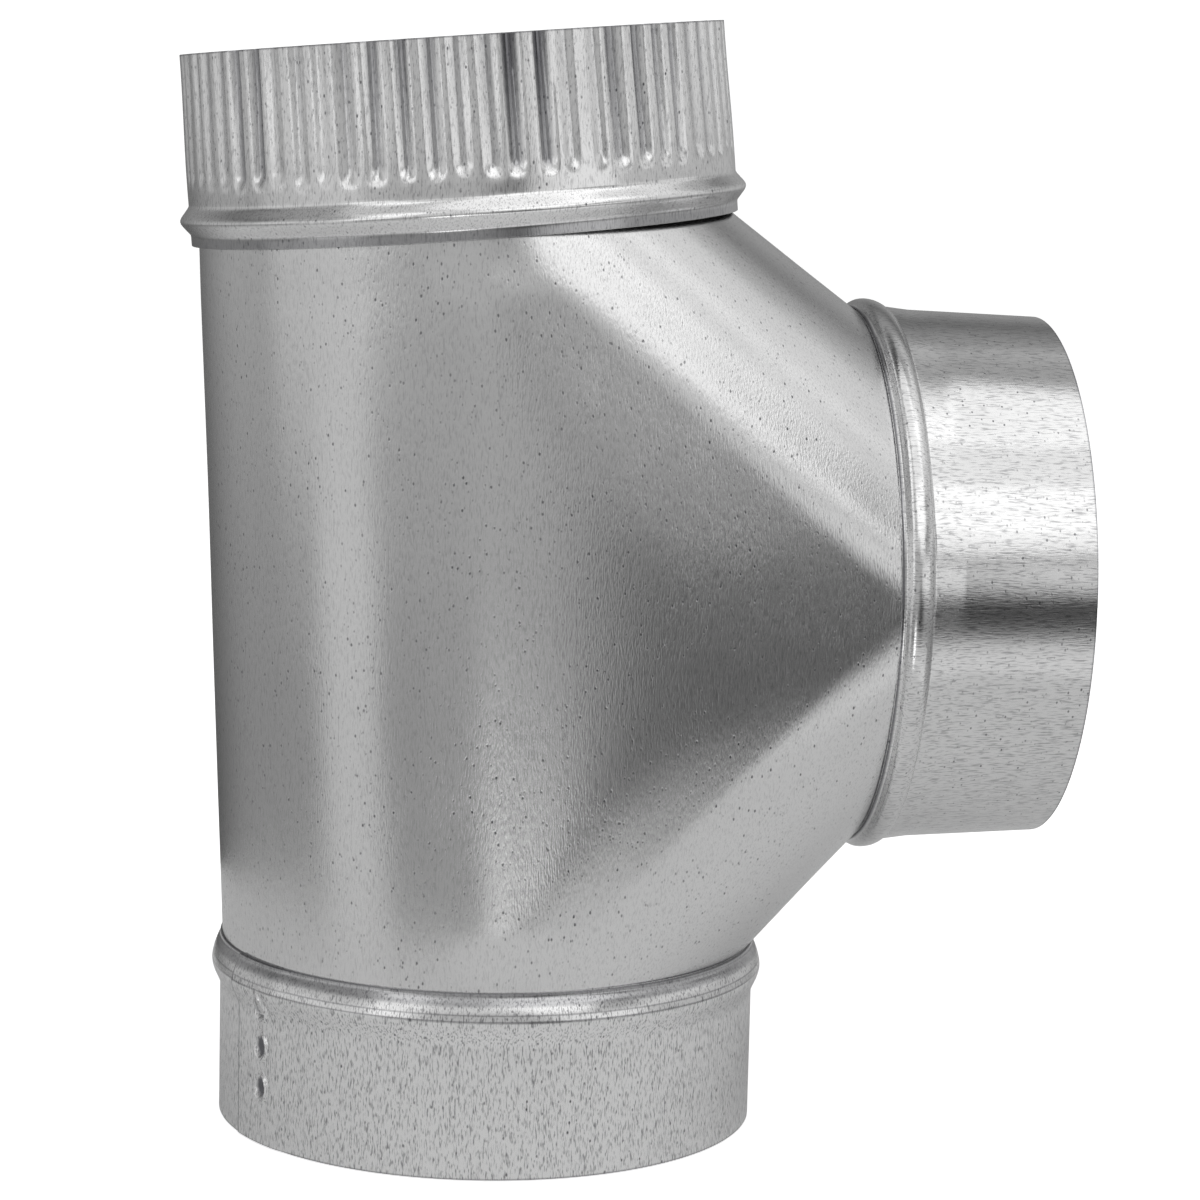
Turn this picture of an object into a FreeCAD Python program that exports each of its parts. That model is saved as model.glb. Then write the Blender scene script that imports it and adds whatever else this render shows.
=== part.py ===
import FreeCAD, Part
import math
import os
from FreeCAD import Placement, Rotation, Vector

# Furnace pipe tee: a folded sheet body and three collars, each locked on by a rolled bead.
# The bottom rim stands on z = 0, +Z is the bottom collar's axis, +X points along the branch.
# Lengths are in millimetres, turns in degrees.

# Sheet, the play between two sheets that nest, and the open line at each seam
sheet = 0.5
seat_gap = 0.05
seam_gap = 0.3

# Pipe that the tee is made for: inside radius of a plain end
duct_radius = 76.2

# Body: reaches from the branch's axis and the run's axis, and how far the run leans back
lower_reach = 104.0
upper_reach = 97.6
branch_reach = 101.3
run_lean = 2.8

# Bottom collar, with its wide low bead
bottom_length = 52.0
bottom_bead_start = 1.0
bottom_bead_width = 13.2
bottom_bead_height = 2.2
bottom_crest_width = 3.6

# Crimped collar: bead above a short skirt, a plain band, then the crimps
top_length = 53.0
top_lean = 5.0
top_bead_start = 3.2
top_bead_width = 8.2
top_bead_height = 2.7
top_crest_width = 1.6
top_neck_shrink = 1.5
plain_band = 4.0

# Crimps: grooves pressed in between flat lands, each with a narrow floor
crimp_count = 64
crimp_depth = 1.9
crimp_first_share = 0.8
crimp_run_in = 7.0
crimp_land_share = 0.56
crimp_floor_share = 0.16
spigot_shrink = 0.8

# Branch collar, which narrows from its bead to a straight lip
branch_length = 55.0
branch_bead_start = 1.0
branch_bead_width = 8.2
branch_bead_height = 2.1
branch_crest_width = 2.4
branch_neck_growth = 0.4
lip_shrink = 2.1
lip_length = 10.0

# Lap seams: width, the way down to the sheet below, and the outer edge's turn from the front
lap_width = 18.0
lap_ramp = 5.0
bottom_lap_turn = 70.0
branch_lap_turn = -0.3
body_lap_turn = 112.0

# Clinch buttons pressed through the bottom collar's lap
button_count = 3
button_first = 16.2
button_pitch = 11.4
button_inset = 12.2
button_height = 5.4
button_width = 4.0
button_depth = 0.6
button_swell = 0.25

# Centres of the body's three edges on the mid-plane
run_height = lower_reach + upper_reach
top_x = -run_height * math.sin(math.radians(run_lean))
top_z = bottom_length + run_height * math.cos(math.radians(run_lean))
branch_z = bottom_length + lower_reach


def at(radius, height):
    """Point of a wall's profile, in an opening's own frame."""
    return Vector(radius, 0, height)


def around(radius, angle, height=0.0):
    """Point at an angle from the front, -Y, towards +X of an opening's own frame."""
    turn = math.radians(angle)
    return Vector(radius * math.sin(turn), -radius * math.cos(turn), height)


def arc(first, middle, last):
    """Circular edge through three points."""
    return Part.Arc(first, middle, last).toShape()


def moved_out(path, distance):
    """The same path with every point moved square to it, away from the axis."""
    return path.makeOffset2D(-distance, join=2, fill=False, openResult=True)


def section(path, thickness):
    """Face of a sheet that lies outside a path."""
    return path.makeOffset2D(-thickness, join=2, fill=True, openResult=True)


def spun(face, angle=360.0):
    """Solid of a section turned about the opening's axis."""
    return face.revolve(Vector(0, 0, 0), Vector(0, 0, 1), angle)


def turned(shape, angle):
    """A copy turned so that its start, drawn at +X, lies at this angle from the front."""
    copy = shape.copy()
    copy.rotate(Vector(0, 0, 0), Vector(0, 0, 1), angle - 90)
    return copy


def lap_angle(radius):
    """Angle that the lap covers on a round of this radius."""
    return math.degrees(lap_width / radius)


class Opening:
    """One round edge of the body: its place, its radii and the bead rolled beside it.

    The opening's own frame has its origin at the centre of the body's edge, +Z along
    the way out and -Y at the tee's front. Wall means the collar's inner face, and
    seat the radius that the body's edge fits in.
    """

    def __init__(self, x, z, turn, wall_radius, seat_radius, bead):
        self.place = Placement(Vector(x, 0, z), Rotation(Vector(0, 1, 0), turn))
        self.wall_radius = wall_radius
        self.seat_radius = seat_radius
        self.bead_start, bead_width, self.bead_height, crest_width = bead
        self.bead_end = self.bead_start + bead_width
        self.flank = (bead_width - crest_width) / 2

    def path(self, radius, height, points=()):
        """Line of a sheet: an open edge at a radius and height, the bead, then points."""
        crest_radius = self.wall_radius + self.bead_height
        foot = (self.wall_radius - radius) * self.flank / self.bead_height
        corners = [
            at(radius, height),
            at(radius, self.bead_start - foot),
            at(crest_radius, self.bead_start + self.flank),
            at(crest_radius, self.bead_end - self.flank),
            at(self.wall_radius, self.bead_end),
        ]
        return Part.makePolygon(corners + list(points))

    def collar_path(self, *points):
        """Inner face of the collar, from the seam to its rim."""
        return self.path(self.wall_radius, seam_gap, points)

    def neck(self):
        """The body's neck in the collar, its own bead rolled into the collar's."""
        inner_face = moved_out(self.path(self.seat_radius, 0), -seat_gap - sheet)
        return spun(section(inner_face, sheet))

    def edge_radius(self, inset):
        """Radius of the body's edge, less an inset."""
        return self.seat_radius - seat_gap - inset

    def half_edge(self, inset, side):
        """Half of the body's edge, from front to back past local +X or -X."""
        radius = self.edge_radius(inset)
        half = arc(around(radius, 0), around(radius, side * 90), around(radius, 180))
        half.Placement = self.place
        return half

    def edge_point(self, inset, angle):
        """Point of the body's edge, in the tee's frame."""
        return self.place.multVec(around(self.edge_radius(inset), angle))


bottom = Opening(
    0, bottom_length, 180, duct_radius, duct_radius,
    (bottom_bead_start, bottom_bead_width, bottom_bead_height, bottom_crest_width),
)
top = Opening(
    top_x, top_z, -top_lean, duct_radius, duct_radius - top_neck_shrink,
    (top_bead_start, top_bead_width, top_bead_height, top_crest_width),
)
branch_radius = duct_radius + branch_neck_growth
branch = Opening(
    branch_reach, branch_z, 90, branch_radius, branch_radius,
    (branch_bead_start, branch_bead_width, branch_bead_height, branch_crest_width),
)


def filled_body(inset):
    """Solid form of the body between its three edges, drawn in by an inset.

    The heel and the two gussets are ruled between half edges, and the flat cheeks
    join the points where the three edges touch the same plane.
    """
    faces = [
        Part.makeRuledSurface(bottom.half_edge(inset, 1), top.half_edge(inset, -1)),
        Part.makeRuledSurface(top.half_edge(inset, 1), branch.half_edge(inset, -1)),
        Part.makeRuledSurface(branch.half_edge(inset, 1), bottom.half_edge(inset, -1)),
    ]
    for angle in (0, 180):
        corners = [opening.edge_point(inset, angle) for opening in (bottom, top, branch)]
        faces.append(Part.Face(Part.makePolygon(corners + corners[:1])))
    for opening in (bottom, top, branch):
        rim = Part.Wire([opening.half_edge(inset, -1), opening.half_edge(inset, 1)])
        faces.append(Part.Face(rim))
    shell = Part.makeShell(faces)
    shell.sewShape()
    return Part.makeSolid(shell)


def strip_outline(opening, first, last):
    """Outline of the second layer of sheet at an opening's edge, between two angles."""
    inner = opening.edge_radius(sheet / 2)
    outer = opening.edge_radius(-sheet)
    middle = (first + last) / 2
    outline = Part.Wire([
        arc(around(inner, first), around(inner, middle), around(inner, last)),
        Part.makeLine(around(inner, last), around(outer, last)),
        arc(around(outer, last), around(outer, middle), around(outer, first)),
        Part.makeLine(around(outer, first), around(inner, first)),
    ])
    outline.Placement = opening.place
    return outline


def body_lap():
    """Lap that closes the body's sheet, down the back of the heel."""
    first = body_lap_turn
    last = body_lap_turn + lap_angle(duct_radius)
    outlines = [strip_outline(bottom, first, last), strip_outline(top, -first, -last)]
    return Part.makeLoft(outlines, True, True)


def tee_body():
    """Folded body with its lap and its three beaded necks."""
    wall = filled_body(0).cut(filled_body(sheet))
    necks = []
    for opening in (bottom, top, branch):
        neck = opening.neck()
        neck.Placement = opening.place
        necks.append(neck)
    return wall.fuse([body_lap()] + necks).removeSplitter()


def collar_lap(path, edge_turn, radius):
    """Outer layer of a collar's lap, with the ramp where it steps down at the far side."""
    cover = lap_angle(radius)
    ramp = math.degrees(lap_ramp / radius)
    layer = section(moved_out(path, sheet / 2), 1.5 * sheet)
    faded = section(moved_out(path, sheet / 8), 0.75 * sheet)
    faded.rotate(Vector(0, 0, 0), Vector(0, 0, 1), -ramp)
    slope = Part.makeLoft([layer.OuterWire, faded.OuterWire], True, True)
    return turned(spun(layer, cover).fuse(slope), edge_turn - cover)


def button_punch(height, inset):
    """Half-moon prism through the collar's wall, square to it, drawn in by an inset."""
    radius = button_height / 2 - inset
    shear = button_width - button_height / 2 - inset
    corner = math.sqrt(radius ** 2 - shear ** 2)
    outline = Part.Wire([
        arc(Vector(0, -shear, corner), Vector(0, radius, 0), Vector(0, -shear, -corner)),
        Part.makeLine(Vector(0, -shear, -corner), Vector(0, -shear, corner)),
    ])
    prism = Part.Face(outline).extrude(Vector(duct_radius + 2 * bottom_bead_height, 0, 0))
    prism.translate(Vector(0, 0, height))
    return prism


def bottom_collar():
    """Plain collar with its low bead, its lap and the clinch buttons that hold the lap."""
    path = bottom.collar_path(at(duct_radius, bottom_length))
    wall = spun(section(path, sheet)).fuse(collar_lap(path, bottom_lap_turn, duct_radius))
    pressed = spun(section(moved_out(path, 2 * sheet - button_depth), 2 * button_depth))
    raised = spun(section(moved_out(path, -button_swell), button_swell + sheet / 2))
    button_turn = bottom_lap_turn - math.degrees(button_inset / duct_radius)
    for index in range(button_count):
        height = bottom_length - button_first - index * button_pitch
        punch = turned(button_punch(height, 0), button_turn)
        wall = wall.cut(pressed.common(punch))
        if height - button_height / 2 > bottom.bead_end:
            swell = turned(button_punch(height, sheet), button_turn)
            wall = wall.fuse(raised.common(swell))
    wall.Placement = bottom.place
    return wall


def patch(*points):
    """Flat face through these points."""
    return Part.Face(Part.makePolygon(list(points) + [points[0]]))


def ring(outer, inner):
    """Flat end of the sheet between two closed outlines, each a list of points."""
    return patch(*outer).cut(patch(*inner)).Faces[0]


def crimp_outline(height, land_radius, depth, inset):
    """Points across the crimps, inset into the sheet from its outer face.

    Each crimp gives its land's start and end, then its floor's. Inside the sheet
    the lands are narrower and the floors wider, so the flanks keep their thickness.
    """
    pitch = 2 * math.pi * land_radius / crimp_count
    flank = pitch * (1 - crimp_land_share - crimp_floor_share) / 2
    shift = inset * math.tan(math.atan(depth / flank) / 2)
    half_land = math.degrees((pitch * crimp_land_share / 2 - shift) / land_radius)
    half_floor = math.degrees((pitch * crimp_floor_share / 2 + shift) / land_radius)
    radius = land_radius - inset
    points = []
    for index in range(crimp_count):
        land = index * 360 / crimp_count
        groove = land + 180 / crimp_count
        points.append(around(radius, land - half_land, height))
        points.append(around(radius, land + half_land, height))
        points.append(around(radius - depth, groove - half_floor, height))
        points.append(around(radius - depth, groove + half_floor, height))
    return points


def plain_outline(height, radius):
    """Points where the crimps begin: only each land's start and end."""
    half_land = 180 * crimp_land_share / crimp_count
    points = []
    for index in range(crimp_count):
        land = index * 360 / crimp_count
        points.append(around(radius, land - half_land, height))
        points.append(around(radius, land + half_land, height))
    return points


def crimp_faces(root, full, rim):
    """Flat faces of one side of the crimps: run-in, then lands, floors and flanks."""
    faces = []
    for index in range(crimp_count):
        following = (index + 1) % crimp_count
        start, end = root[2 * index], root[2 * index + 1]
        next_start = root[2 * following]
        land_in, land_out, floor_in, floor_out = full[4 * index:4 * index + 4]
        next_land = full[4 * following]
        rim_land_in, rim_land_out, rim_floor_in, rim_floor_out = rim[4 * index:4 * index + 4]
        next_rim_land = rim[4 * following]
        faces.append(patch(start, end, land_out, land_in))
        faces.append(patch(end, land_out, floor_in))
        faces.append(patch(end, floor_in, floor_out, next_start))
        faces.append(patch(next_start, floor_out, next_land))
        faces.append(patch(land_in, land_out, rim_land_out, rim_land_in))
        faces.append(patch(land_out, floor_in, rim_floor_in))
        faces.append(patch(land_out, rim_floor_in, rim_land_out))
        faces.append(patch(floor_in, floor_out, rim_floor_out, rim_floor_in))
        faces.append(patch(floor_out, next_land, next_rim_land))
        faces.append(patch(floor_out, next_rim_land, rim_floor_out))
    return faces


def crimps(root_height):
    """Crimped stretch of sheet from a height to the rim, where it is narrowest."""
    full_height = root_height + crimp_run_in
    root_radius = duct_radius + sheet
    full_radius = root_radius - spigot_shrink * crimp_run_in / (top_length - root_height)
    rim_radius = root_radius - spigot_shrink
    first_depth = crimp_depth * crimp_first_share
    roots = [plain_outline(root_height, root_radius - inset) for inset in (0, sheet)]
    fulls = [crimp_outline(full_height, full_radius, first_depth, inset) for inset in (0, sheet)]
    rims = [crimp_outline(top_length, rim_radius, crimp_depth, inset) for inset in (0, sheet)]
    faces = [ring(*roots), ring(*rims)]
    for outlines in zip(roots, fulls, rims):
        faces += crimp_faces(*outlines)
    shell = Part.makeShell(faces)
    shell.sewShape()
    return Part.makeSolid(shell)


def crimped_collar():
    """Male collar: skirt, sharp bead, plain band and the crimps that narrow its end."""
    root = top.bead_end + plain_band
    path = top.collar_path(at(duct_radius, root))
    collar = spun(section(path, sheet)).fuse(crimps(root))
    collar.Placement = top.place
    return collar


def branch_collar():
    """Plain collar that narrows to a straight lip, with its lap edge at the front."""
    lip_radius = duct_radius - lip_shrink
    lip_start = at(lip_radius, branch_length - lip_length)
    path = branch.collar_path(lip_start, at(lip_radius, branch_length))
    collar = spun(section(path, sheet)).fuse(collar_lap(path, branch_lap_turn, branch_radius))
    collar.Placement = branch.place
    return collar


os.makedirs("parts", exist_ok=True)
for build in (tee_body, crimped_collar, bottom_collar, branch_collar):
    build().exportStep(f"parts/{build.__name__}.step")
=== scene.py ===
import logging
import math
from dataclasses import dataclass
from enum import Enum

import bmesh
import bpy
from bmesh.types import BMesh, BMVert
from bpy.types import Material, Node, NodeSocket, NodeTree, Object
from mathutils import Matrix, Vector, noise


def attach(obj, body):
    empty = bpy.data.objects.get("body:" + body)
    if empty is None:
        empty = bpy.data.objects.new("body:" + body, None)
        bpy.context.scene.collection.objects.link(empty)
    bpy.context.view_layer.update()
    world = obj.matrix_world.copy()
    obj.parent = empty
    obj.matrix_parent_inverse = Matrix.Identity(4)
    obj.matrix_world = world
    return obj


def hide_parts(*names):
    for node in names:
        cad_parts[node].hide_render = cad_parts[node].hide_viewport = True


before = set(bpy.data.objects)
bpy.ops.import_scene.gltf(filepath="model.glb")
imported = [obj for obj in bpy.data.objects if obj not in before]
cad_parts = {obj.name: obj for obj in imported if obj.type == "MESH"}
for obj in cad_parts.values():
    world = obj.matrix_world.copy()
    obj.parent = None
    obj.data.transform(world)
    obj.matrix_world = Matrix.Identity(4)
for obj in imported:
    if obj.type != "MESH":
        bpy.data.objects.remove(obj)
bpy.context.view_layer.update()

# Looks of a galvanised furnace pipe tee: a folded body and three collars locked on by beads.
# Meshes are made in millimetres, in the frame's axes, and brought to metres as they are finished.

LOG = logging.getLogger("tee")
METRES = Matrix.Scale(0.001, 4)
MERGE = 0.0005
SHARP_ANGLE = math.radians(38)
# Vertex attribute of painted shade in seams, crimp floors, button hollows, bead slopes and lines and along
# lap edges, together with the dull steel of cut ends.
SHADE_AND_WEAR_ATTRIBUTE = "shade_and_wear"

# Driving sizes, the same as the part's source has, in millimetres and degrees
SHEET = 0.5
SEAT_GAP = 0.05
SEAM_GAP = 0.3
DUCT_RADIUS = 76.2
BOTTOM_LENGTH = 52.0
TOP_LENGTH = 53.0
BRANCH_LENGTH = 55.0
LOWER_REACH = 104.0
UPPER_REACH = 97.6
BRANCH_REACH = 101.3
RUN_LEAN = 2.8
TOP_LEAN = 5.0
TOP_NECK_SHRINK = 1.5
BRANCH_NECK_GROWTH = 0.4
LAP_WIDTH = 18.0
BOTTOM_LAP_TURN = 70.0
BRANCH_LAP_TURN = -0.3
BODY_LAP_TURN = 112.0

# What follows from them
COLLAR_RADIUS = DUCT_RADIUS + SHEET
BRANCH_RADIUS = COLLAR_RADIUS + BRANCH_NECK_GROWTH
RUN_HEIGHT = LOWER_REACH + UPPER_REACH
LEAN = math.radians(RUN_LEAN)

Face = list[tuple[float, float]]
Triples = tuple[tuple[float, float, float], ...]


def smooth(low: float, high: float, value: float) -> float:
    """Soft step from 0 below low to 1 above high."""
    share = min(max((value - low) / (high - low), 0.0), 1.0)
    return share * share * (3 - 2 * share)


def bump(centre: float, width: float, value: float) -> float:
    """Soft hump of height 1 at centre, 0 beyond half of width."""
    distance = abs(value - centre) / (width / 2)
    return 0.5 + 0.5 * math.cos(math.pi * distance) if distance < 1 else 0.0


def ripple(seed: float, *place: float) -> float:
    """Smooth noise of about -1 to 1 at a place of up to three numbers; each seed has its own."""
    padded = list(place) + [seed] * (3 - len(place))
    return noise.noise(Vector(padded) + seed * Vector((17.3, 5.1, 9.7)))


def around(radius: float, angle: float, height: float = 0.0) -> Vector:
    """Point at an angle from the front, in degrees, in an opening's frame."""
    turn = math.radians(angle)
    return Vector((radius * math.sin(turn), -radius * math.cos(turn), height))


class Rolling(Enum):
    """Direction of the rolling lines left in the sheet."""

    UPRIGHT = "upright"
    ALONG_BRANCH = "along branch"


class Uneven(Enum):
    """What differs from crimp to crimp, each with its own seed and stride through the noise."""

    PLACE = (1.0, 7.7)
    WIDTH = (2.0, 5.3)
    START = (3.0, 3.1)
    DEPTH = (4.0, 9.1)

    def of(self, key: int) -> float:
        """Unevenness of one crimp, about -1 to 1."""
        seed, stride = self.value
        return ripple(seed, key * stride)


@dataclass(frozen=True)
class Opening:
    """One round edge of the body.

    Its own frame has +Z along the way out and -Y at the tee's front; angles run
    from the front towards its +X.
    """

    x: float
    z: float
    turn: float

    def place(self) -> Matrix:
        """Matrix from the opening's own frame to the tee's."""
        return Matrix.Translation((self.x, 0, self.z)) @ Matrix.Rotation(math.radians(self.turn), 4, "Y")

    def edge(self, radius: float, angle: float) -> Vector:
        """Point of the body's edge, in the tee's frame, at an angle in degrees."""
        return self.place() @ around(radius, angle)


BOTTOM = Opening(0.0, BOTTOM_LENGTH, 180.0)
TOP = Opening(-RUN_HEIGHT * math.sin(LEAN), BOTTOM_LENGTH + RUN_HEIGHT * math.cos(LEAN), -TOP_LEAN)
BRANCH = Opening(BRANCH_REACH, BOTTOM_LENGTH + LOWER_REACH, 90.0)


@dataclass(frozen=True)
class Bead:
    """Ridge rolled round a collar and the neck inside it.

    Each station is a height above the seam and how far the sheet stands proud there
    of the collar's wall, whose outer radius is given.
    """

    wall: float
    stations: tuple[tuple[float, float], ...]

    def slope(self, index: int) -> float:
        """Slope of the sheet at a station, level at the first and the last.

        Args:
            index: number of the station.

        Returns:
            How much farther the sheet stands proud for each millimetre up.
        """
        if index in (0, len(self.stations) - 1):
            return 0.0
        before, after = self.stations[index - 1], self.stations[index + 1]
        return (after[1] - before[1]) / (after[0] - before[0])

    def proud(self, height: float) -> float:
        """How far the sheet stands proud, on a smooth curve through the stations.

        Args:
            height: height above the seam, in millimetres.

        Returns:
            The distance out from the collar's wall, in millimetres.
        """
        for index, (low, high) in enumerate(zip(self.stations, self.stations[1:])):
            if low[0] < height <= high[0]:
                span = high[0] - low[0]
                share = (height - low[0]) / span
                square, cube = share ** 2, share ** 3
                return (
                    (2 * cube - 3 * square + 1) * low[1]
                    + (cube - 2 * square + share) * span * self.slope(index)
                    + (3 * square - 2 * cube) * high[1]
                    + (cube - square) * span * self.slope(index + 1)
                )
        return 0.0


BOTTOM_BEAD = Bead(COLLAR_RADIUS, (
    (1.0, 0), (2.9, 0.9), (4.7, 1.6), (6.5, 2.1), (8.3, 2.35),
    (10.0, 2.0), (11.7, 1.25), (13.5, 0.45), (15.4, 0),
))
TOP_BEAD = Bead(COLLAR_RADIUS, (
    (3.0, 0), (4.4, 1.0), (6.2, 2.4), (7.2, 2.7), (8.2, 2.3), (9.8, 1.0), (11.4, 0),
))
BRANCH_BEAD = Bead(BRANCH_RADIUS, ((1.0, 0), (2.4, 1.4), (3.8, 2.0), (6.0, 1.9), (8.0, 1.1), (9.2, 0)))


def heights(*runs: tuple[float, float, float]) -> list[float]:
    """Heights for a profile's points.

    Args:
        runs: each a start, an end and about the step between points.

    Returns:
        Rising heights with no repeats.
    """
    found: list[float] = []
    for start, end, step in runs:
        count = max(1, round((end - start) / step))
        found += [start + (end - start) * index / count for index in range(count + 1)]
    return sorted({round(height, 4) for height in found})


def eased(face: Face, out: float) -> Face:
    """Face of a sheet with its corners at both ends eased.

    Args:
        face: radius and height of each point.
        out: how far the corners give way, in millimetres, below 0 for the inner face.

    Returns:
        The face with two points in place of each end.
    """
    first, last = face[0], face[-1]
    start = [(first[0] - out, first[1]), (first[0], first[1] + abs(out))]
    end = [(last[0], last[1] - abs(out)), (last[0] - out, last[1])]
    return start + face[1:-1] + end


def sheet_loop(outer: Face, thickness: float) -> Face:
    """Closed outline of a sheet whose outer face runs through these points.

    Args:
        outer: radius and height of each point of the outer face.
        thickness: thickness of the sheet.

    Returns:
        The outer points with their ends eased, then the inner points going back.
    """
    inner = []
    for index, (radius, height) in enumerate(outer):
        before = outer[max(index - 1, 0)]
        after = outer[min(index + 1, len(outer) - 1)]
        along = Vector((after[0] - before[0], after[1] - before[1])).normalized()
        inner.append((radius - along.y * thickness, height + along.x * thickness))
    ease = thickness * 0.16
    return eased(outer, ease) + eased(inner, -ease)[::-1]


def joined(bm: BMesh, part: BMesh) -> None:
    """Add a part's faces to a mesh.

    Args:
        bm: mesh that receives them.
        part: the part, which is freed.
    """
    mesh = bpy.data.meshes.new("part")
    part.to_mesh(mesh)
    part.free()
    bm.from_mesh(mesh)
    bpy.data.meshes.remove(mesh)


def spun(loop: Face, start: float, turn: float, steps: int) -> BMesh:
    """Sheet spun about the opening's axis, one sector at a time.

    Args:
        loop: closed outline, radius and height of each point.
        start: angle from the front where it starts, in degrees.
        turn: angle that it covers, in degrees; below 360 both ends are closed.
        steps: number of steps round.

    Returns:
        A new mesh in the opening's frame.
    """
    # One long spin is slow, so a short one is made and its copies are turned round.
    most_sectors = 64
    sectors = max(count for count in range(1, most_sectors + 1) if steps % count == 0)
    sector = bmesh.new()
    outline = [sector.verts.new(around(radius, start, height)) for radius, height in loop]
    edges = [sector.edges.new(pair) for pair in zip(outline, outline[1:] + outline[:1])]
    bmesh.ops.spin(
        sector, geom=outline + edges, cent=(0, 0, 0), axis=(0, 0, 1),
        angle=math.radians(turn / sectors), steps=steps // sectors,
    )
    mesh = bpy.data.meshes.new("sector")
    sector.to_mesh(mesh)
    sector.free()
    sheet = bmesh.new()
    for index in range(sectors):
        known = len(sheet.verts)
        sheet.from_mesh(mesh)
        sheet.verts.ensure_lookup_table()
        step = Matrix.Rotation(math.radians(turn * index / sectors), 3, "Z")
        bmesh.ops.rotate(sheet, verts=sheet.verts[known:], cent=(0, 0, 0), matrix=step)
    bpy.data.meshes.remove(mesh)
    if turn < 360:
        for angle in (start, start + turn):
            sheet.faces.new([sheet.verts.new(around(radius, angle, height)) for radius, height in loop])
    bmesh.ops.remove_doubles(sheet, verts=sheet.verts, dist=MERGE)
    return sheet


def polar(vertex: BMVert) -> tuple[float, float, float]:
    """Radius, angle from the front in degrees, and height of a vertex in an opening's frame."""
    x, y, z = vertex.co
    return math.hypot(x, y), math.degrees(math.atan2(x, -y)), z


def set_radius(vertex: BMVert, radius: float) -> None:
    """Move a vertex straight out or in to a radius."""
    scale = radius / math.hypot(vertex.co.x, vertex.co.y)
    vertex.co.xy = vertex.co.xy * scale


def linked(bm: BMesh, name: str, material: Material) -> Object:
    """Object at the origin from a finished mesh.

    Args:
        bm: the mesh, in metres, which is freed.
        name: name of the object.
        material: its finish.

    Returns:
        The object, in the scene.
    """
    mesh = bpy.data.meshes.new(name)
    bm.to_mesh(mesh)
    bm.free()
    mesh.materials.append(material)
    piece = bpy.data.objects.new(name, mesh)
    bpy.context.scene.collection.objects.link(piece)
    return piece


def finished(bm: BMesh, name: str, material: Material) -> Object:
    """Piece of the tee from a mesh made in millimetres.

    Args:
        bm: the mesh, which is freed.
        name: name of the object.
        material: its finish.

    Returns:
        The object, at the origin, in metres, with its normals out and its edges marked.
    """
    bmesh.ops.remove_doubles(bm, verts=bm.verts, dist=MERGE)
    bmesh.ops.recalc_face_normals(bm, faces=bm.faces)
    for face in bm.faces:
        face.smooth = True
    for edge in bm.edges:
        edge.smooth = len(edge.link_faces) != 2 or edge.calc_face_angle(0.0) < SHARP_ANGLE
    bmesh.ops.transform(bm, matrix=METRES, verts=bm.verts)
    return linked(bm, name, material)


def linear(code: str) -> tuple[float, float, float, float]:
    """Linear colour from an sRGB hex code such as C8CACC."""
    channels = [int(code[index:index + 2], 16) / 255 for index in (0, 2, 4)]
    return tuple(c / 12.92 if c <= 0.04045 else ((c + 0.055) / 1.055) ** 2.4 for c in channels) + (1.0,)


def add(
    tree: NodeTree, kind: str, settings: dict | None = None, **inputs: object
) -> Node:
    """Add a node.

    Args:
        tree: node tree.
        kind: the node's type.
        settings: properties set on the node.
        inputs: socket values or linked sockets, by socket name with _ for a space,
            or by in0, in1 and so on for a socket's number.

    Returns:
        The node.
    """
    node = tree.nodes.new(kind)
    for key, value in (settings or {}).items():
        setattr(node, key, value)
    for key, value in inputs.items():
        numbered = key[:2] == "in" and key[2:].isdigit()
        socket = node.inputs[int(key[2:]) if numbered else key.replace("_", " ")]
        if isinstance(value, NodeSocket):
            tree.links.new(value, socket)
        else:
            socket.default_value = value
    return node


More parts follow.
